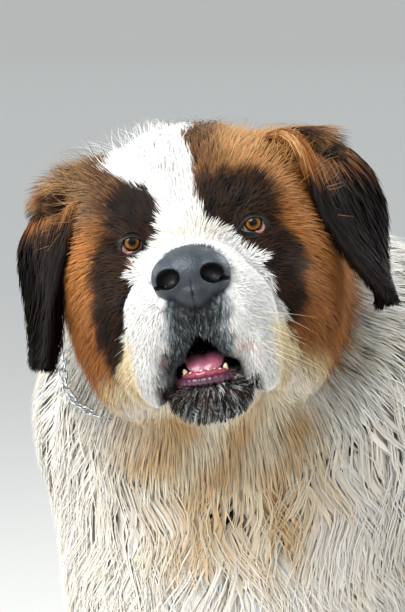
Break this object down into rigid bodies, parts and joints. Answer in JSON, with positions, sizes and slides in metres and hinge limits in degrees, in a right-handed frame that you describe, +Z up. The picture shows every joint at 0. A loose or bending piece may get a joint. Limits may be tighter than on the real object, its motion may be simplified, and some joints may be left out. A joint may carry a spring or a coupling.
{
  "type": "saint bernard",
  "caption": "Life-size still model of a sitting long-haired Saint Bernard with its head turned and a chain collar.",
  "frame": {"origin": "on the floor under the middle of the bounding box", "axes": "+Z up, -Y the way the trunk and forelegs face, +X the dog's left"},
  "size_m": [0.5564, 1.212, 0.9459],
  "materials": {
    "head_coat": "short orange, black and white hair",
    "body_coat": "long white and reddish-brown hair",
    "ear_coat": "soft black-brown hair",
    "lip_skin": "moist dark lip skin",
    "eye": "glossy amber",
    "nose_leather": "pebbled blue-black, moist",
    "tongue": "moist pink",
    "teeth": "ivory teeth on pink gum",
    "collar_steel": "polished steel links"
  },
  "bodies": {
    "root": {"head": "head_coat", "jaw": "lip_skin", "neck": "body_coat", "torso": "body_coat", "tail": "body_coat", "left_foreleg": "body_coat", "right_foreleg": "body_coat", "left_hind_leg": "body_coat", "right_hind_leg": "body_coat", "left_ear": "ear_coat", "right_ear": "ear_coat", "left_eye": "eye", "right_eye": "eye", "nose": "nose_leather", "tongue": "tongue", "lower_teeth": "teeth", "collar": "collar_steel"}
  },
  "joints": []
}
